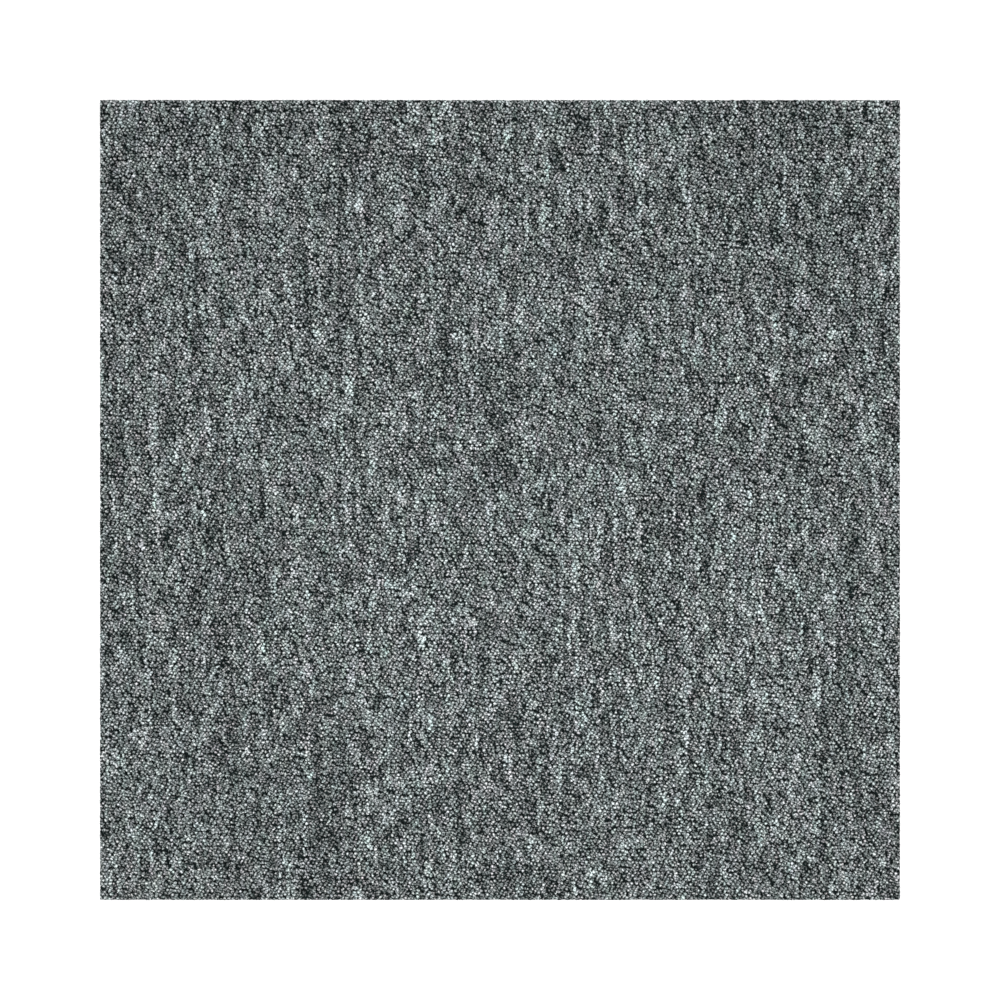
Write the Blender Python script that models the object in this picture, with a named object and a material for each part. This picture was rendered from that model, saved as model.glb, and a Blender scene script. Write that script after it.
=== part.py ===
"""Loop-pile carpet tile, half a metre square: one bonded, die-cut piece.

The tile lies on a floor with its pile up. The origin is the middle of its underside, and +Y is the way it was tufted.
"""

import bmesh
import bpy

MM = 0.001

# Plan of the tile, as the die cuts it, with sharp corners
TILE_SIDE = 500 * MM

# Section of the tile, from the floor up
BACKING_THICKNESS = 2.8 * MM
PILE_HEIGHT = 3.2 * MM
TILE_THICKNESS = BACKING_THICKNESS + PILE_HEIGHT

# The outermost loops round the pile over at its rim, and the die leaves the underside's edge slightly blunt
CROWN_RADIUS = 1.0 * MM
CROWN_STEPS = 5
ARRIS = 0.2 * MM
ARRIS_STEPS = 1

# How near a height an edge has to be to count as level with it
LEVEL = 0.01 * MM

PILE_COLOUR = (0.25, 0.27, 0.27, 1.0)
PILE_ROUGHNESS = 0.95


def edges_at(mesh, height):
    """The edges that lie level at this height."""
    return [edge for edge in mesh.edges if all(abs(corner.co.z - height) < LEVEL for corner in edge.verts)]


def round_over(mesh, edges, radius, steps):
    """Rounds the edges to the radius, in so many flat steps."""
    bmesh.ops.bevel(
        mesh,
        geom=edges,
        offset=radius,
        offset_type="OFFSET",
        segments=steps,
        profile=0.5,
        affect="EDGES",
        clamp_overlap=False,
    )


def tile_mesh():
    """A square slab that stands on the floor, with a rounded rim to the pile and a blunt edge below."""
    mesh = bmesh.new()
    bmesh.ops.create_cube(mesh, size=1.0)
    bmesh.ops.scale(mesh, vec=(TILE_SIDE, TILE_SIDE, TILE_THICKNESS), verts=mesh.verts)
    bmesh.ops.translate(mesh, vec=(0, 0, TILE_THICKNESS / 2), verts=mesh.verts)
    round_over(mesh, edges_at(mesh, TILE_THICKNESS), CROWN_RADIUS, CROWN_STEPS)
    round_over(mesh, edges_at(mesh, 0), ARRIS, ARRIS_STEPS)
    bmesh.ops.recalc_face_normals(mesh, faces=mesh.faces)
    data = bpy.data.meshes.new("carpet_tile")
    mesh.to_mesh(data)
    mesh.free()
    return data


def pile_material():
    """Matt heathered yarn, as one mid grey."""
    material = bpy.data.materials.new("pile")
    material.use_nodes = True
    shader = material.node_tree.nodes["Principled BSDF"]
    shader.inputs["Base Color"].default_value = PILE_COLOUR
    shader.inputs["Roughness"].default_value = PILE_ROUGHNESS
    shader.inputs["Metallic"].default_value = 0.0
    return material


def main():
    for leftover in list(bpy.data.objects):
        bpy.data.objects.remove(leftover, do_unlink=True)
    collection = bpy.data.collections.new("carpet_tile")
    bpy.context.scene.collection.children.link(collection)
    tile = bpy.data.objects.new("carpet_tile", tile_mesh())
    tile.data.materials.append(pile_material())
    collection.objects.link(tile)


main()
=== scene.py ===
"""Loop-pile carpet tile: its backing, its tufted yarn loops and a pale studio floor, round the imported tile.

Lengths are in metres. +Y is the way the tile was tufted, and +Z is up through the pile.
"""

import math

import bpy
import numpy as np
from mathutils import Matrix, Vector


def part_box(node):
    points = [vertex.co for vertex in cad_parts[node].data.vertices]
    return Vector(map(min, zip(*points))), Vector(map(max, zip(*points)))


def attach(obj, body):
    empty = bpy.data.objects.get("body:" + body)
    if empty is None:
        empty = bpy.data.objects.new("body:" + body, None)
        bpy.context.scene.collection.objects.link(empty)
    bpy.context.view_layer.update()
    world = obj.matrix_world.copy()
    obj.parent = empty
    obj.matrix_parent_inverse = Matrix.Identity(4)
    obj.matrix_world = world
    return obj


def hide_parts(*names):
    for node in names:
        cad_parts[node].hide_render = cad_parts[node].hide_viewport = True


bl_info = {
    "name": "Loop pile carpet tile",
    "version": (1, 0, 0),
    "blender": (4, 5, 0),
    "location": "View3D > Sidebar > Carpet tile",
    "description": "Tufts a square carpet tile loop by loop and lays it on a pale studio floor",
    "category": "Object",
}

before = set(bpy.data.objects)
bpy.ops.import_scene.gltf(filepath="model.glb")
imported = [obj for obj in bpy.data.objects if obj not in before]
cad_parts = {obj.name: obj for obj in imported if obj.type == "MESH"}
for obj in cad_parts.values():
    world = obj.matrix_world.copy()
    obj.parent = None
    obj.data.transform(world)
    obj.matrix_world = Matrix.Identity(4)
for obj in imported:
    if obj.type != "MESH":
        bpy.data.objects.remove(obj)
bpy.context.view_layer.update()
TILE_LOW, TILE_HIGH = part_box("carpet_tile")
TILE_NODE = "carpet_tile"
TILE_BODY = "root"

MM = 0.001
SEED = 500

# How many stitches are laid out past each side of the tile, for the loops that reach back over its edge
SPARE_STITCHES = 4

# How many pieces the loops are parted into, so that each stays small enough to be written whole
LOOP_BANDS = 5

# A loop's crown is an apex and two rings of this many points, closed by a foot
CROWN_SIDES = 6
CROWN_RINGS = (1, CROWN_SIDES, CROWN_SIDES)
CROWN_POINTS = sum(CROWN_RINGS)

# The shoulder's share of how far the apex leans, and of how far its yarn is up from the root, painted dark as
# shade, to the apex, which is left bright
SHOULDER_LEAN = 0.7
SHOULDER_RISE = 0.6

# The name of the map to bake by, and the share of a loop's own square of its picture that the shoulder,
# the root and the hidden foot reach
BAKE_MAP = "OFBake"
BAKE_SHOULDER = 0.33
BAKE_ROOT = 0.47
BAKE_FOOT = 0.03

# How far the cut faces of the loops stay inside the backing's cut side
CUT_CLEARANCE = 0.02 * MM

# A slab has this many sides
SLAB_SIDES = 4

# The shade of a loop that is neither dark nor pale, on the way from 0 to 1
MIDDLE_TONE = 0.5

# The value that Blender's textures lie about, and the length of one turn of its waves at a scale of one
TEXTURE_MIDDLE = 0.5
WAVE_TURN = math.tau / 20

# How strongly the finer steps of a cloudy noise show, and how many of them the yarn's grooves, the marks of
# the knife, the threads and the floor have, and how many the fleece has
NOISE_ROUGHNESS = 0.6
GROOVE_STEPS = 1.0
COARSE_STEPS = 2.0
FLEECE_STEPS = 3.0

# Strength of every bump, whose depth in metres is a setting
BUMP = 0.6

# Values of their textures between which a mineral grain, a thread and a fibre turn into what lies round them,
# and the floor's darker clouds into its own colour
GRAIN_RIM = (0.18, 0.34)
THREAD_RIM = (0.35, 0.6)
FIBRE_RIM = (0.5, 0.72)
CLOUD_RIM = (0.3, 0.7)

# The ways that the fleece's fibres lie, in degrees
FLEECE_WAYS = (15, 75, 135)

# How far a face is turned up or down, from -1 to 1, where the backing's top and its underside begin
FACES_UP = 0.9
FACES_DOWN = -0.9


def length(name, description, default):
    """A property for a length in metres."""
    return bpy.props.FloatProperty(
        name=name,
        description=description,
        default=default,
        min=0.0,
        precision=5,
        subtype="DISTANCE",
        unit="LENGTH",
    )


def share(name, description, default, most=1.0):
    """A property for a plain number from zero up."""
    return bpy.props.FloatProperty(name=name, description=description, default=default, min=0.0, max=most)


def slope(name, description, default):
    """A property for a rise over a run, of either sign."""
    return bpy.props.FloatProperty(name=name, description=description, default=default, precision=5)


def angle(name, description, degrees):
    """A property for an angle, given here in degrees."""
    return bpy.props.FloatProperty(
        name=name, description=description, default=math.radians(degrees), subtype="ANGLE", unit="ROTATION"
    )


def colour(name, description, default):
    """A property for a colour in linear light."""
    return bpy.props.FloatVectorProperty(
        name=name, description=description, default=default, size=3, min=0.0, max=1.0, subtype="COLOR"
    )


class TuftSettings(bpy.types.PropertyGroup):
    """Where the needles set the loops, and how evenly."""

    needle_pitch: length("Needle pitch", "From one column of loops to the next", 2.597 * MM)
    stitch_pitch: length("Stitch pitch", "From one row of loops to the next", 2.242 * MM)
    zigzag: length("Zigzag", "How far every other row of stitches steps sideways", 1.171 * MM)
    column_lean: slope("Column lean", "How far the columns lean to the right as they run up", 0.0078)
    row_drop: slope("Row drop", "How far the rows drop as they run right", 0.0135)
    bow: length("Bow", "How far the rows sag at the sides of the tile", 1.2 * MM)
    wander: length("Wander", "How far the cloth drifts from true over some centimetres", 0.35 * MM)
    wander_columns: share("Wander columns", "Width of a drift in the cloth, in columns of loops", 14.0, 50.0)
    wander_rows: share("Wander rows", "Length of a drift in the cloth, in rows of loops", 16.0, 50.0)
    scatter: length("Scatter", "How far each loop lies from its place", 0.07 * MM)
    slip: length("Slip", "How far each loop has slipped from its place along its yarn", 0.48 * MM)
    slip_heading: angle("Slip heading", "The way the loops slip, turned left from the tile's right", 55.1)


class LoopSettings(bpy.types.PropertyGroup):
    """One yarn loop, as it stands on the cloth."""

    half_length: length("Half length", "Half of a loop along its yarn", 2.13 * MM)
    half_width: length("Half width", "Half of a loop across its yarn", 1.53 * MM)
    size_spread: share("Size spread", "Share by which the loops differ in length and width", 0.131)
    heading: angle("Heading", "The way a loop's yarn runs, turned left from the tile's right", 60.0)
    heading_spread: angle("Heading spread", "How much the loops differ in heading", 27.5)
    lean: length("Lean", "How far the apex of a loop lies off its middle", 0.23 * MM)
    height_spread: length("Height spread", "How much the loops differ in height", 0.407 * MM)
    crown_drop: length("Crown drop", "From the apex down to the shoulder, where the crown ends", 0.72 * MM)
    shoulder: share("Shoulder", "The shoulder's share of the loop's half length and half width", 0.75)
    lumps: share("Lumps", "Share by which a shoulder is uneven", 0.12)
    cut_reach: share("Cut reach", "How far outside the tile the last cut loops stood, in half widths", 0.6)


class YarnSettings(bpy.types.PropertyGroup):
    """The heathered yarn that the loops are made of."""

    # The dark filaments' colour is also where the painted shade at the loops' roots takes the yarn
    dark: colour("Dark filaments", "The darkest filaments in the mix", (0.0028, 0.0078, 0.0078))
    middle: colour("Middle filaments", "The grey that most of the yarn has", (0.1502, 0.1677, 0.1677))
    pale: colour("Pale filaments", "The palest filaments in the mix", (0.613, 0.632, 0.632))
    mottle: share("Mottle", "How much each loop differs in shade", 0.010)
    streak: share("Streak", "How much the shade drifts along a column of loops", 0.107)
    cloud: share("Cloud", "How much the shade drifts over some centimetres", 0.006)
    needle_shade: share("Needle shade", "How much the yarns of the needles differ in shade", 0.034)
    streak_columns: share("Streak columns", "Width of a streak, in columns of loops", 0.1, 50.0)
    streak_rows: share("Streak rows", "Length of a streak, in rows of loops", 1.2, 50.0)
    cloud_columns: share("Cloud columns", "Width of a drift in shade, in columns of loops", 8.0, 50.0)
    cloud_rows: share("Cloud rows", "Length of a drift in shade, in rows of loops", 14.0, 50.0)
    needle_columns: share("Needle columns", "Width of a needle's yarn, in columns of loops", 0.2, 50.0)
    needle_rows: share("Needle rows", "Rows of loops for which a needle's yarn keeps its shade", 20.0, 500.0)
    ply_pitch: length("Ply pitch", "From one groove between the twisted plies to the next", 1.88 * MM)
    ply_angle: angle("Ply angle", "Turn of the plies' grooves from straight across the yarn", -7.7)
    ply_stray: share("Ply stray", "How far the plies' grooves stray from straight lines", 2.5, 10.0)
    ply_fray: share("Ply fray", "How finely the plies' grooves stray", 1.3, 10.0)
    # Painted shade: the grooves between the plies are painted darker, and painted light makes the plies'
    # crests paler
    painted_ply_groove_shade: share("Painted ply groove shade", "How dark the grooves between the plies are", 0.459)
    fibre_stretch: share("Fibre stretch", "Width over length of the clumps and filaments", 0.55)
    fibre_size: length("Fibre size", "Size of the clumps of like filaments", 0.919 * MM)
    fibre_shade: share("Fibre shade", "How much the clumps of filaments differ in shade", 0.98, 9.0)
    hair_size: length("Hair size", "Size of the finest filaments that show", 0.569 * MM)
    hair_shade: share("Hair shade", "How much single filaments differ in shade", 0.85)
    # Painted shade: the yarn is painted darker from the apex down to the root, standing for the shade between
    # the loops
    painted_root_shade: share("Painted root shade", "How much darker a loop is at its root than at its apex", 0.695)
    pink: share("Pink", "Share by which the loops differ in red", 0.033)
    pink_of_dark: share("Pink of the dark", "How much redder a loop is for being darker", 0.24)
    cold: share("Cold", "Share by which the loops differ in blue", 0.018)
    tint_columns: share("Tint columns", "Width of a tinted patch, in columns of loops", 0.4, 50.0)
    tint_rows: share("Tint rows", "Length of a tinted patch, in rows of loops", 1.5, 50.0)
    relief: length("Relief", "Depth of the grooves between the plies and filaments", 0.16 * MM)
    clump_relief: share("Clump relief", "Height of the clumps of filaments beside that of the plies", 0.8)
    hair_relief: share("Hair relief", "Height of single filaments beside that of the plies", 0.3)
    smoothest: share("Smoothest", "Roughness of the filaments that shine most", 0.62)
    roughest: share("Roughest", "Roughness of the filaments that shine least", 0.9)
    gloss: share("Gloss", "How strongly the filaments reflect", 0.03)
    sheen: share("Sheen", "How bright the stray filaments look from the side", 0.02)
    sheen_roughness: share("Sheen roughness", "How evenly the stray filaments spread their light", 0.6)


class BackingSettings(bpy.types.PropertyGroup):
    """The filled backing under the pile."""

    thickness: length("Backing thickness", "From the floor to the foot of the loops", 2.8 * MM)
    arris: length("Arris", "The blunt edge that the die leaves below", 0.2 * MM)
    compound: colour("Compound", "The filled compound on the cut side", (0.022, 0.023, 0.024))
    chalk: colour("Chalk", "The mineral grains in the compound", (0.13, 0.13, 0.125))
    grain_size: length("Grain size", "From one mineral grain to the next", 0.35 * MM)
    cloth: colour("Cloth", "The cut edge of the cloth that carries the loops", (0.16, 0.165, 0.165))
    cloth_thickness: length("Cloth thickness", "Thickness of the cloth under the loops", 0.35 * MM)
    thread_size: length("Thread size", "Width of the cloth's threads on the cut side", 0.6 * MM)
    # Painted shade: the cloth's top under the pile is painted near-black for the shade between the loops'
    # feet
    painted_pile_shade: colour("Painted shade under the pile", "The cloth's top between the loops' feet, painted dark as the pile's shade", (0.007, 0.014, 0.014))
    fleece: colour("Fleece", "The fibres of the fleece on the underside", (0.15, 0.155, 0.16))
    fleece_shade: colour("Fleece shade", "The dark between the fibres of the fleece", (0.03, 0.032, 0.034))
    fleece_size: length("Fleece size", "From one bundle of fibres to the next in the fleece", 0.7 * MM)
    fleece_slimness: share("Fleece slimness", "Width over length of a bundle of fibres", 0.12)
    knife_slimness: share("Knife slimness", "Width over length of the upright marks of the die's knife", 0.12)
    thread_slimness: share("Thread slimness", "Width over height of a cut thread of the cloth", 0.4)
    unevenness: length("Unevenness", "Depth of the knife's marks and of the fleece", 0.15 * MM)
    roughness: share("Roughness", "How matt the backing is", 0.85)
    gloss: share("Gloss", "How strongly the backing reflects", 0.1)


class StageSettings(bpy.types.PropertyGroup):
    """The floor, the lights and the camera."""

    floor_side: length("Floor side", "Side of the square floor", 6.0)
    floor_drop: length("Floor drop", "How far the floor lies below the tile's underside", 0.2 * MM)
    floor_colour: colour("Floor", "The pale floor", (0.86, 0.86, 0.86))
    floor_grain: length("Floor grain", "Size of the floor's faint clouds", 25 * MM)
    floor_evenness: share("Floor evenness", "The darker clouds' share of the floor's colour", 0.98)
    floor_roughness: share("Floor roughness", "How matt the floor is", 0.9)
    lens: share("Lens", "Focal length of the camera in millimetres", 100.0, 1000.0)
    picture_side: length("Picture side", "Width of the picture at the height that it is taken for", 0.625)
    picture_height: length("Picture height", "Height at which the picture has its width", 4.4 * MM)
    light_radius: length("Light radius", "Radius of the soft light", 0.3)
    light_height: length("Light height", "Height of the soft light", 2.6)
    light_cone: angle("Light cone", "How wide the soft light spreads before it has faded to nothing", 21.5)
    pool_right: length("Pool to the right", "How far right of the middle the light is brightest", 0.02)
    pool_near: length("Pool nearer", "How far below the middle, in the picture, it is brightest", 0.07)
    light_power: share("Light power", "Power of the soft light in watts", 172.0, 10000.0)
    sky: share("Sky", "Strength of the even light from all round", 1.66, 10.0)


class CarpetTileSettings(bpy.types.PropertyGroup):
    """Everything that can be set on the tile."""

    tufts: bpy.props.PointerProperty(type=TuftSettings)
    loops: bpy.props.PointerProperty(type=LoopSettings)
    yarn: bpy.props.PointerProperty(type=YarnSettings)
    backing: bpy.props.PointerProperty(type=BackingSettings)
    stage: bpy.props.PointerProperty(type=StageSettings)


def add_node(tree, kind, inputs=None, **settings):
    """A node with its settings, and each input, by name or number, set to a value or joined to a socket."""
    made = tree.nodes.new(kind)
    for name, value in settings.items():
        setattr(made, name, value)
    for name, value in (inputs or {}).items():
        if isinstance(value, bpy.types.NodeSocket):
            tree.links.new(value, made.inputs[name])
        else:
            made.inputs[name].default_value = value
    return made


def sum_of(tree, value, factor, rest):
    """The socket for value times factor plus rest."""
    inputs = {0: value, 1: factor, 2: rest}
    return add_node(tree, "ShaderNodeMath", inputs, operation="MULTIPLY_ADD").outputs[0]


def higher_of(tree, first, second):
    """The socket for the higher of two values."""
    return add_node(tree, "ShaderNodeMath", {0: first, 1: second}, operation="MAXIMUM").outputs[0]


def step_of(tree, value, edge, above=True):
    """The socket for one where the value is above the edge, or below it, and nought elsewhere."""
    operation = "GREATER_THAN" if above else "LESS_THAN"
    return add_node(tree, "ShaderNodeMath", {0: value, 1: edge}, operation=operation).outputs[0]


def shade_ramp(tree, value, stops):
    """The socket for a colour picked by value from stops of (place, colour), in rising order."""
    made = add_node(tree, "ShaderNodeValToRGB", {0: value})
    elements = made.color_ramp.elements
    stops = list(stops)
    for place, rgb in stops[1:-1]:
        elements.new(place)
    for element, (place, rgb) in zip(elements, stops):
        element.position = place
        element.color = (*rgb, 1.0)
    return made.outputs[0]


def mix_of(tree, factor, first, second, **settings):
    """The socket for a colour between the first and the second."""
    inputs = {"Factor": factor, "A": first, "B": second}
    return add_node(tree, "ShaderNodeMix", inputs, data_type="RGBA", **settings).outputs["Result"]


def mapped(tree, place, stretch, turn=0.0):
    """The socket for a place turned about Z and then squeezed along each axis."""
    turned = add_node(tree, "ShaderNodeMapping", {"Vector": place, "Rotation": (0.0, 0.0, turn)})
    return add_node(tree, "ShaderNodeMapping", {"Vector": turned.outputs[0], "Scale": stretch}).outputs[0]


def noise_of(tree, place, size, steps=0.0):
    """The socket for cloudy noise with features of this size, and so many steps of finer ones."""
    inputs = {"Vector": place, "Scale": 1.0 / size, "Detail": steps, "Roughness": NOISE_ROUGHNESS}
    return add_node(tree, "ShaderNodeTexNoise", inputs).outputs["Fac"]


def set_bump(tree, shader, relief, depth):
    """Bumps the shader's surface by the relief, which stands for this depth."""
    inputs = {"Height": relief, "Strength": BUMP, "Distance": depth}
    bump = add_node(tree, "ShaderNodeBump", inputs)
    tree.links.new(bump.outputs[0], shader.inputs["Normal"])


def blank_material(name):
    """A material with only its shader, and that shader's node."""
    material = bpy.data.materials.new(name)
    material.use_nodes = True
    return material, material.node_tree, material.node_tree.nodes["Principled BSDF"]


def yarn_material(yarn):
    """Heathered nylon yarn: the loop's own shade, twisted plies with painted shade in their grooves, clumps
    of filaments, single filaments and painted shade that darkens the loop from its apex down to its root add
    up, and the sum picks a grey between the darkest and the palest."""
    material, tree, shader = blank_material("heathered_yarn")
    tone = add_node(tree, "ShaderNodeAttribute", attribute_name="tone").outputs["Fac"]
    rise = add_node(tree, "ShaderNodeAttribute", attribute_name="rise").outputs["Fac"]
    tint = add_node(tree, "ShaderNodeAttribute", attribute_name="tint").outputs["Color"]
    strand = add_node(tree, "ShaderNodeAttribute", attribute_name="strand").outputs["Vector"]

    twist = mapped(tree, strand, (1.0, 1.0, 1.0), yarn.ply_angle)
    grooves = {"Vector": twist, "Scale": WAVE_TURN / yarn.ply_pitch}
    strays = {"Distortion": yarn.ply_stray, "Detail": GROOVE_STEPS, "Detail Scale": yarn.ply_fray}
    plies = add_node(tree, "ShaderNodeTexWave", grooves | strays).outputs["Fac"]
    stretched = mapped(tree, strand, (yarn.fibre_stretch, 1.0, 1.0))
    clumps = noise_of(tree, stretched, yarn.fibre_size)
    hairs = noise_of(tree, stretched, yarn.hair_size)

    shade = sum_of(tree, clumps, yarn.fibre_shade, tone)
    shade = sum_of(tree, hairs, yarn.hair_shade, shade)
    # Painted shade in the grooves between the plies, and painted light on their crests
    shade = sum_of(tree, plies, yarn.painted_ply_groove_shade, shade)
    # Painted shade: darker from the apex down to the root, where the loops shade each other
    shade = sum_of(tree, rise, yarn.painted_root_shade, shade)
    spread = yarn.fibre_shade + yarn.hair_shade + yarn.painted_ply_groove_shade
    centred = sum_of(tree, shade, 1.0, -TEXTURE_MIDDLE * spread - yarn.painted_root_shade)
    # The painted shade at the roots takes the yarn down to the dark filaments' colour
    grey = shade_ramp(tree, centred, [(0.0, yarn.dark), (MIDDLE_TONE, yarn.middle), (1.0, yarn.pale)])
    tinted = mix_of(tree, 1.0, grey, tint, blend_type="MULTIPLY")
    tree.links.new(tinted, shader.inputs["Base Color"])

    relief = sum_of(tree, hairs, yarn.hair_relief, plies)
    relief = sum_of(tree, clumps, yarn.clump_relief, relief)
    set_bump(tree, shader, relief, yarn.relief)
    reach = {"Value": hairs, "To Min": yarn.smoothest, "To Max": yarn.roughest}
    tree.links.new(add_node(tree, "ShaderNodeMapRange", reach).outputs[0], shader.inputs["Roughness"])
    shader.inputs["Specular IOR Level"].default_value = yarn.gloss
    shader.inputs["Sheen Weight"].default_value = yarn.sheen
    shader.inputs["Sheen Roughness"].default_value = yarn.sheen_roughness
    return material


def backing_material(backing):
    """Filled backing, told apart by height and facing: compound with mineral grains on the cut side, the edge
    of the cloth just under the loops, fleece whose fibres lie three ways on the underside, and on the top,
    between the loops' feet, a near-black colour that is painted shade in place of the cloth."""
    material, tree, shader = blank_material("filled_backing")
    place = add_node(tree, "ShaderNodeTexCoord").outputs["Object"]
    height = add_node(tree, "ShaderNodeSeparateXYZ", {0: place}).outputs["Z"]
    facing = add_node(tree, "ShaderNodeNewGeometry").outputs["Normal"]
    upness = add_node(tree, "ShaderNodeSeparateXYZ", {0: facing}).outputs["Z"]

    grain = add_node(tree, "ShaderNodeTexVoronoi", {"Vector": place, "Scale": 1.0 / backing.grain_size})
    specks = shade_ramp(tree, grain.outputs["Distance"], zip(GRAIN_RIM, (backing.chalk, backing.compound)))
    upright = mapped(tree, place, (1.0, 1.0, backing.knife_slimness))
    knife_marks = noise_of(tree, upright, backing.grain_size, COARSE_STEPS)
    marked = mix_of(tree, knife_marks, specks, (*backing.compound, 1.0))

    standing = mapped(tree, place, (1.0, 1.0, backing.thread_slimness))
    threads = noise_of(tree, standing, backing.thread_size, COARSE_STEPS)
    cloth = shade_ramp(tree, threads, zip(THREAD_RIM, (backing.compound, backing.cloth)))
    in_cloth = step_of(tree, height, backing.thickness - backing.cloth_thickness)
    side = mix_of(tree, in_cloth, marked, cloth)

    slim = (backing.fleece_slimness, 1.0, 1.0)
    laid = [mapped(tree, place, slim, math.radians(way)) for way in FLEECE_WAYS]
    first, second, third = [noise_of(tree, way, backing.fleece_size, FLEECE_STEPS) for way in laid]
    fibres = higher_of(tree, first, higher_of(tree, second, third))
    fleece = shade_ramp(tree, fibres, zip(FIBRE_RIM, (backing.fleece_shade, backing.fleece)))
    below = step_of(tree, upness, FACES_DOWN, above=False)
    lower = mix_of(tree, below, side, fleece)
    # The backing's top is painted with the pile's shade instead of the cloth's own colour
    pile_shaded_top = step_of(tree, upness, FACES_UP)
    shown = mix_of(tree, pile_shaded_top, lower, (*backing.painted_pile_shade, 1.0))
    tree.links.new(shown, shader.inputs["Base Color"])

    set_bump(tree, shader, mix_of(tree, below, knife_marks, fibres), backing.unevenness)
    shader.inputs["Roughness"].default_value = backing.roughness
    shader.inputs["Specular IOR Level"].default_value = backing.gloss
    return material


def floor_material(stage):
    """Plain matt floor with the faintest clouds."""
    material, tree, shader = blank_material("pale_floor")
    place = add_node(tree, "ShaderNodeTexCoord").outputs["Object"]
    clouds = noise_of(tree, place, stage.floor_grain, COARSE_STEPS)
    deeper = [stage.floor_evenness * channel for channel in stage.floor_colour]
    grey = shade_ramp(tree, clouds, zip(CLOUD_RIM, (deeper, stage.floor_colour)))
    tree.links.new(grey, shader.inputs["Base Color"])
    shader.inputs["Roughness"].default_value = stage.floor_roughness
    return material


def new_object(name, points, corners, sizes, material):
    """An object from its points, its faces' corners one after another, and how many corners each face has."""
    mesh = bpy.data.meshes.new(name)
    mesh.vertices.add(len(points))
    mesh.vertices.foreach_set("co", np.asarray(points, np.float32).ravel())
    mesh.loops.add(len(corners))
    mesh.loops.foreach_set("vertex_index", np.asarray(corners, np.int32))
    mesh.polygons.add(len(sizes))
    starts = np.concatenate([[0], np.cumsum(sizes)[:-1]])
    mesh.polygons.foreach_set("loop_start", starts.astype(np.int32))
    mesh.update(calc_edges=True)
    mesh.shade_flat()
    mesh.materials.append(material)
    made = bpy.data.objects.new(name, mesh)
    bpy.context.scene.collection.objects.link(made)
    return made


def finish_piece(piece):
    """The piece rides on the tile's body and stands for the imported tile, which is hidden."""
    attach(piece, TILE_BODY)
    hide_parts(TILE_NODE)


def drifting_noise(rng, shape, columns, rows):
    """White noise over the stitches, blurred by a bell curve so many columns wide and rows long, and then
    scaled to a spread of one."""
    along_columns = np.fft.fftfreq(shape[0])[:, None]
    along_rows = np.fft.fftfreq(shape[1])[None, :]
    bell = np.exp(-2 * math.pi**2 * ((along_columns * columns) ** 2 + (along_rows * rows) ** 2))
    soft = np.fft.ifft2(np.fft.fft2(rng.standard_normal(shape)) * bell).real
    return soft / soft.std()


def stitch_places(tufts, rng):
    """Where each stitch lies on the cloth, as arrays of x and y with one row for each column of loops.

    Column i and row j lie at i times the needle pitch and j times the stitch pitch, with every other row
    stepped sideways. The columns then lean, the rows drop and bow, the cloth drifts a little, and each loop
    slips along its yarn.
    """
    half = (TILE_HIGH.x - TILE_LOW.x) / 2
    columns = math.ceil(half / tufts.needle_pitch) + SPARE_STITCHES
    rows = math.ceil(half / tufts.stitch_pitch) + SPARE_STITCHES
    column, row = np.meshgrid(np.arange(-columns, columns + 1), np.arange(-rows, rows + 1), indexing="ij")
    x = column * tufts.needle_pitch + (row % 2 - 0.5) * tufts.zigzag
    y = row * tufts.stitch_pitch
    reach = (tufts.wander_columns, tufts.wander_rows)
    drift = [tufts.wander * drifting_noise(rng, x.shape, *reach) for _ in range(2)]
    scatter = [tufts.scatter * rng.standard_normal(x.shape) for _ in range(2)]
    slip = tufts.slip * rng.standard_normal(x.shape)
    slip_x, slip_y = slip * math.cos(tufts.slip_heading), slip * math.sin(tufts.slip_heading)
    placed_x = x + tufts.column_lean * y + drift[0] + scatter[0] + slip_x
    placed_y = y - tufts.row_drop * x - tufts.bow * (x / half) ** 2 + drift[1] + scatter[1] + slip_y
    return placed_x, placed_y


def heather_tones(yarn, shape, rng):
    """Each loop's shade from 0 to 1: the middle, and its own shade, a streak along its column, a slow drift
    and its needle's yarn on top."""
    own = yarn.mottle * rng.standard_normal(shape)
    streak = yarn.streak * drifting_noise(rng, shape, yarn.streak_columns, yarn.streak_rows)
    cloud = yarn.cloud * drifting_noise(rng, shape, yarn.cloud_columns, yarn.cloud_rows)
    needle = yarn.needle_shade * drifting_noise(rng, shape, yarn.needle_columns, yarn.needle_rows)
    return MIDDLE_TONE + own + streak + cloud + needle


def heather_tints(yarn, tones, rng):
    """What each loop's red, green and blue are multiplied by: darker yarn is redder, and patches differ in
    red and in blue, which go together in part."""
    pinker, colder = [drifting_noise(rng, tones.shape, yarn.tint_columns, yarn.tint_rows) for _ in range(2)]
    red = 1.0 - yarn.pink_of_dark * (tones - MIDDLE_TONE) + yarn.pink * pinker
    blue = 1.0 + yarn.cold * (pinker + colder) / math.sqrt(2)
    return np.stack([red, np.ones_like(red), blue], axis=-1)


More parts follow.
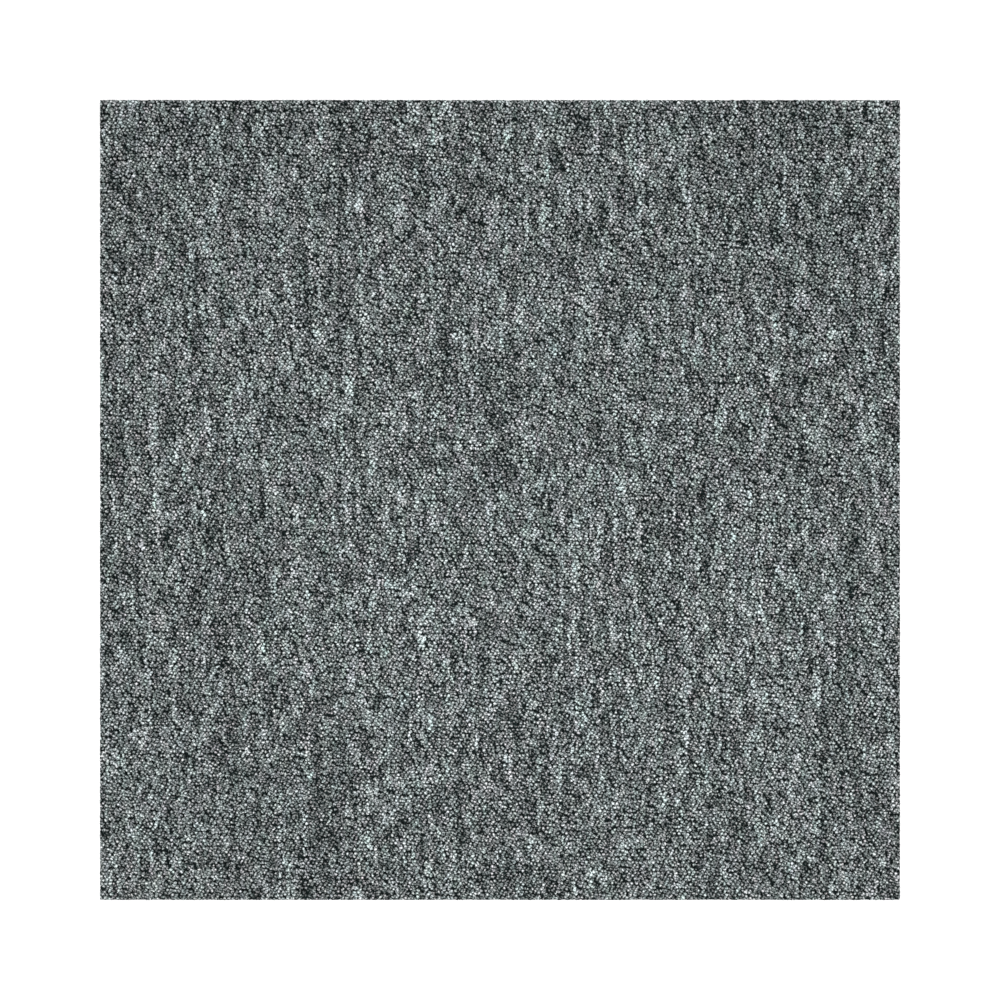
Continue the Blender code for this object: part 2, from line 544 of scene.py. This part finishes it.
def crown_shapes(loops, x, y, foot, rng):
    """The points of each loop's crown, and the same points along and across its yarn.

    A crown is an ellipse of points turned to the loop's heading: at its root it has the loop's full size, at
    the shoulder a share of it, and at the apex none. The root stands on the cloth at the height called foot,
    and the shoulder hangs below the apex by the crown's drop. The apex and the shoulder lean to one side.
    """
    count = len(x)
    top = TILE_HIGH.z - loops.height_spread * np.abs(rng.standard_normal(count))
    heading = loops.heading + loops.heading_spread * rng.standard_normal(count)
    half_length = loops.half_length * (1 + loops.size_spread * rng.standard_normal(count))
    half_width = loops.half_width * (1 + loops.size_spread * rng.standard_normal(count))
    lean = loops.lean * rng.standard_normal((2, count))
    turn = np.arange(CROWN_SIDES) * math.tau / CROWN_SIDES
    ring_along = half_length[:, None] * np.cos(turn)
    ring_across = half_width[:, None] * np.sin(turn)
    uneven = 1 + loops.lumps * rng.standard_normal((count, CROWN_SIDES))
    sag = loops.crown_drop * (1 + loops.lumps * rng.standard_normal((count, CROWN_SIDES)))

    apex = np.zeros((count, 1))
    along = np.concatenate([apex, loops.shoulder * uneven * ring_along, ring_along], axis=1)
    across = np.concatenate([apex, loops.shoulder * uneven * ring_across, ring_across], axis=1)
    leaning = np.repeat([1.0, SHOULDER_LEAN, 0.0], CROWN_RINGS)
    cos = np.cos(heading)[:, None]
    sin = np.sin(heading)[:, None]
    points = np.empty((count, CROWN_POINTS, 3))
    points[:, :, 0] = x[:, None] + along * cos - across * sin + leaning * lean[0][:, None]
    points[:, :, 1] = y[:, None] + along * sin + across * cos + leaning * lean[1][:, None]
    points[:, 0, 2] = top
    points[:, 1 : 1 + CROWN_SIDES, 2] = top[:, None] - sag
    points[:, 1 + CROWN_SIDES :, 2] = foot
    strand = np.stack([along, across, np.zeros_like(along)], axis=-1)
    return points, strand


def cut_to_square(points, loops, foot):
    """Brings the points inside the die's square: one that was outside goes straight onto the cut, and sinks
    there as steeply as a crown falls from its apex to its shoulder."""
    edge = TILE_HIGH.x - CUT_CLEARANCE
    outside = np.maximum(np.abs(points[:, :, :2]).max(axis=2) - edge, 0.0)
    fall = loops.crown_drop / (loops.shoulder * loops.half_width)
    points[:, :, :2] = np.clip(points[:, :, :2], -edge, edge)
    points[:, :, 2] = np.maximum(points[:, :, 2] - fall * outside, foot)


def crown_faces(count):
    """The corners and sizes of the faces of so many crowns: a fan, a band of quads and a foot for each."""
    ring = np.arange(CROWN_SIDES)
    after = (ring + 1) % CROWN_SIDES
    fan = np.stack([np.zeros_like(ring), 1 + ring, 1 + after], axis=1).ravel()
    outer = 1 + CROWN_SIDES
    band = np.stack([1 + ring, outer + ring, outer + after, 1 + after], axis=1).ravel()
    foot = outer + ring[::-1]
    corners = np.concatenate([fan, band, foot])
    sizes = np.repeat([3, 4, CROWN_SIDES], [CROWN_SIDES, CROWN_SIDES, 1])
    every = corners[None, :] + CROWN_POINTS * np.arange(count)[:, None]
    return every.ravel(), np.tile(sizes, count), corners


def crown_bake_map(count, corners):
    """Where each corner lies in the bake's picture: every crown flattened into its own small square, as it is
    seen from above.

    The apex is at the square's middle, the shoulder and the root are rings round it, and the hidden foot is a
    small ring in the square's corner.
    """
    squares = math.ceil(math.sqrt(count))
    turn = np.arange(CROWN_SIDES) * math.tau / CROWN_SIDES
    ring = np.stack([np.cos(turn), np.sin(turn)], axis=1)
    flat = np.concatenate([np.zeros((1, 2)), BAKE_SHOULDER * ring, BAKE_ROOT * ring])
    local = flat[corners]
    local[-CROWN_SIDES:] = (BAKE_ROOT - BAKE_FOOT) + BAKE_FOOT * ring[::-1]
    index = np.arange(count)
    middle = np.stack([index % squares, index // squares], axis=1) + 0.5
    return ((middle[:, None, :] + local[None, :, :]) / squares).astype(np.float32)


def add_attribute(mesh, name, values):
    """Gives each point of the mesh a number, or three where each value is a row of three."""
    kind, field = ("FLOAT", "value") if values.ndim == 1 else ("FLOAT_VECTOR", "vector")
    mesh.attributes.new(name, kind, "POINT").data.foreach_set(field, values.astype(np.float32).ravel())


def make_loop_band(name, points, strand, tones, tints, material, rng):
    """One band of loops as a single piece, with the attributes that its yarn reads."""
    count = len(points)
    corners, sizes, pattern = crown_faces(count)
    piece = new_object(name, points.reshape(-1, 3), corners, sizes, material)
    mesh = piece.data
    mesh.shade_smooth()
    mesh.uv_layers.new(name=BAKE_MAP).data.foreach_set("uv", crown_bake_map(count, pattern).ravel())
    along_yarn = strand + rng.uniform(-1.0, 1.0, (count, 1, 3))
    # How far each point is up from root to apex, which sets the painted shade that darkens the yarn towards
    # its root
    rise = np.repeat([1.0, SHOULDER_RISE, 0.0], CROWN_RINGS)
    add_attribute(mesh, "strand", along_yarn.reshape(-1, 3))
    add_attribute(mesh, "rise", np.tile(rise, count))
    add_attribute(mesh, "tone", np.repeat(tones, CROWN_POINTS))
    add_attribute(mesh, "tint", np.repeat(tints, CROWN_POINTS, axis=0))
    finish_piece(piece)
    return piece


class TuftLoops(bpy.types.Operator):
    """Tufts the yarn loops, in bands that run along the columns"""

    bl_idname = "carpet_tile.tuft_loops"
    bl_label = "Tuft the loops"

    def execute(self, context):
        settings = context.scene.carpet_tile
        rng = np.random.default_rng(SEED)
        x, y = stitch_places(settings.tufts, rng)
        tones = heather_tones(settings.yarn, x.shape, rng)
        tints = heather_tints(settings.yarn, tones, rng)
        foot = settings.backing.thickness
        reach = settings.loops.cut_reach * settings.loops.half_width
        inside = (np.abs(x) < TILE_HIGH.x + reach) & (np.abs(y) < TILE_HIGH.y + reach)
        points, strand = crown_shapes(settings.loops, x[inside], y[inside], foot, rng)
        cut_to_square(points, settings.loops, foot)
        material = yarn_material(settings.yarn)
        made = (points, strand, tones[inside], tints[inside])
        split = [np.array_split(values, LOOP_BANDS) for values in made]
        for number, values in enumerate(zip(*split), start=1):
            make_loop_band(f"loops_band_{number}", *values, material, rng)
        return {"FINISHED"}


def slab_rings(backing):
    """The backing's corners, ring on ring: the underside inside its blunt edge, the foot of the cut side, and
    the cloth on top."""
    half = TILE_HIGH.x
    rings = [
        (half - backing.arris, TILE_LOW.z),
        (half, TILE_LOW.z + backing.arris),
        (half, backing.thickness),
    ]
    corner = np.array([(-1, -1), (1, -1), (1, 1), (-1, 1)], float)
    stacked = [np.column_stack([corner * out, np.full(SLAB_SIDES, height)]) for out, height in rings]
    return np.concatenate(stacked)


def slab_faces():
    """The corners of the backing's faces: the underside, the walls from ring to ring, and the top."""
    side = np.arange(SLAB_SIDES)
    after = (side + 1) % SLAB_SIDES
    faces = [side[::-1]]
    for low in (0, SLAB_SIDES):
        high = low + SLAB_SIDES
        walls = np.stack([low + side, low + after, high + after, high + side], axis=1)
        faces.extend(walls)
    faces.append(2 * SLAB_SIDES + side)
    return np.concatenate(faces), np.full(len(faces), SLAB_SIDES)


class MakeBacking(bpy.types.Operator):
    """Makes the filled backing that carries the loops"""

    bl_idname = "carpet_tile.make_backing"
    bl_label = "Make the backing"

    def execute(self, context):
        backing = context.scene.carpet_tile.backing
        corners, sizes = slab_faces()
        piece = new_object("backing", slab_rings(backing), corners, sizes, backing_material(backing))
        finish_piece(piece)
        return {"FINISHED"}


class MakeStage(bpy.types.Operator):
    """Lays the pale floor and sets up the soft light and the camera straight above the tile"""

    bl_idname = "carpet_tile.make_stage"
    bl_label = "Make the stage"

    def execute(self, context):
        stage = context.scene.carpet_tile.stage
        scene = context.scene
        half = stage.floor_side / 2
        under = TILE_LOW.z - stage.floor_drop
        points = [(-half, -half, under), (half, -half, under), (half, half, under), (-half, half, under)]
        floor = new_object("floor", points, range(len(points)), [len(points)], floor_material(stage))

        lens = bpy.data.cameras.new("camera")
        lens.lens = stage.lens
        camera = bpy.data.objects.new("camera", lens)
        distance = stage.picture_side * stage.lens / lens.sensor_width
        camera.location = (0.0, 0.0, stage.picture_height + distance)
        scene.collection.objects.link(camera)
        scene.camera = camera

        lamp = bpy.data.lights.new("soft_light", "SPOT")
        lamp.shadow_soft_size = stage.light_radius
        lamp.spot_size = stage.light_cone
        lamp.spot_blend = 1.0
        lamp.energy = stage.light_power
        light = bpy.data.objects.new("soft_light", lamp)
        light.location = (stage.pool_right, -stage.pool_near, stage.light_height)
        scene.collection.objects.link(light)

        scene.world = bpy.data.worlds.new("studio")
        scene.world.use_nodes = True
        background = scene.world.node_tree.nodes["Background"]
        background.inputs["Color"].default_value = (1.0, 1.0, 1.0, 1.0)
        background.inputs["Strength"].default_value = stage.sky
        scene.view_settings.view_transform = "Standard"
        return {"FINISHED"}


class CARPET_TILE_PT_panel(bpy.types.Panel):
    """Lists the steps that make the tile, and all its settings"""

    bl_label = "Carpet tile"
    bl_space_type = "VIEW_3D"
    bl_region_type = "UI"
    bl_category = "Carpet tile"

    def draw(self, context):
        for step in STEPS:
            self.layout.operator(step.bl_idname)
        settings = context.scene.carpet_tile
        for group in (settings.tufts, settings.loops, settings.yarn, settings.backing, settings.stage):
            box = self.layout.box()
            for name in group.__annotations__:
                box.prop(group, name)


GROUPS = (TuftSettings, LoopSettings, YarnSettings, BackingSettings, StageSettings, CarpetTileSettings)
STEPS = (MakeStage, MakeBacking, TuftLoops)
CLASSES = (*GROUPS, *STEPS, CARPET_TILE_PT_panel)


def register():
    for made in CLASSES:
        bpy.utils.register_class(made)
    bpy.types.Scene.carpet_tile = bpy.props.PointerProperty(type=CarpetTileSettings)


def unregister():
    del bpy.types.Scene.carpet_tile
    for made in reversed(CLASSES):
        bpy.utils.unregister_class(made)


def main():
    register()
    bpy.ops.carpet_tile.make_stage()
    bpy.ops.carpet_tile.make_backing()
    bpy.ops.carpet_tile.tuft_loops()


if __name__ == "__main__":
    main()
